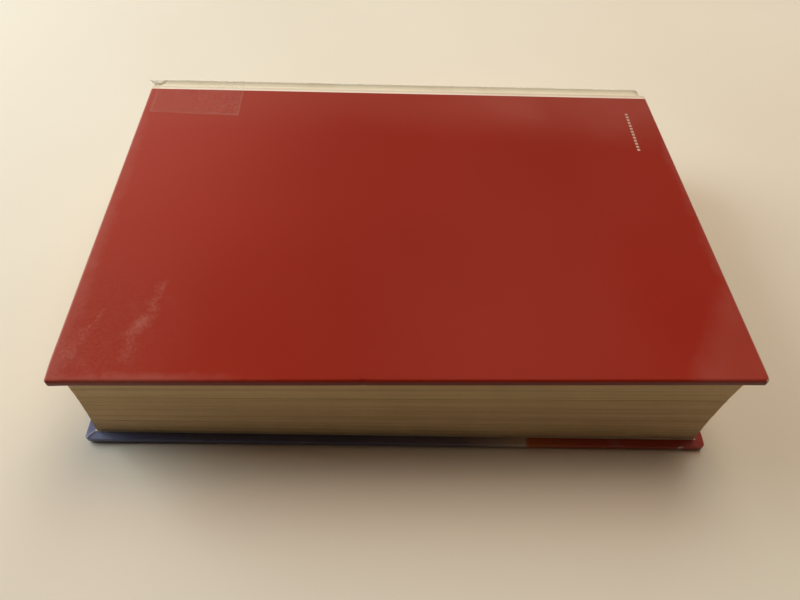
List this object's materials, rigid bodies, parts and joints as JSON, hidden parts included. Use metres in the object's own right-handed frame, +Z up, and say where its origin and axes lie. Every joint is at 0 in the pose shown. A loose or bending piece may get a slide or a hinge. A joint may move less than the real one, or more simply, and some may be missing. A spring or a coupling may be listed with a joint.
{
  "type": "hardcover textbook",
  "caption": "Thick case-bound textbook lying on its front cover: block of pages, two board covers that swing open on cloth joints, cream spine and a strip of clear tape.",
  "frame": {"origin": "middle of the object's box, on the surface it lies on", "axes": "+X from the head of the book to its foot, +Y from the fore edge to the spine, +Z up through the back cover"},
  "size_m": [0.2656, 0.1896, 0.0543],
  "materials": {
    "pages": "matte",
    "endpaper": "matte",
    "spine_cloth": "matte",
    "spine_lining": "matte",
    "band": "satin",
    "board": "matte",
    "spine_cover": "satin",
    "back_cover": "gloss",
    "front_cover": "gloss",
    "tape": "satin"
  },
  "bodies": {
    "text_block": {"text_block": "pages", "front_flyleaf": "endpaper", "back_flyleaf": "endpaper", "spine_cloth": "spine_cloth", "spine_lining": "spine_lining", "head_band": "band", "tail_band": "band", "spine_inlay": "board", "spine_wrap": "spine_cover", "spine_tape": "tape"},
    "back_cover": {"back_board": "board", "back_cover_wrap": "back_cover", "back_pastedown": "endpaper", "back_cover_tape": "tape"},
    "front_cover": {"front_board": "board", "front_cover_wrap": "front_cover", "front_pastedown": "endpaper"}
  },
  "joints": [
    {"name": "back_cover_hinge", "type": "hinge", "parent": "text_block", "child": "back_cover", "pos_m": [0.0018, 0.08949, 0.05255], "axis": [-1, 0, 0], "range_deg": [0, 180]},
    {"name": "front_cover_hinge", "type": "hinge", "parent": "text_block", "child": "front_cover", "pos_m": [0.00179, 0.08949, 0.00165], "axis": [0.9998, -0.0202, 0], "range_deg": [0, 180]}
  ]
}
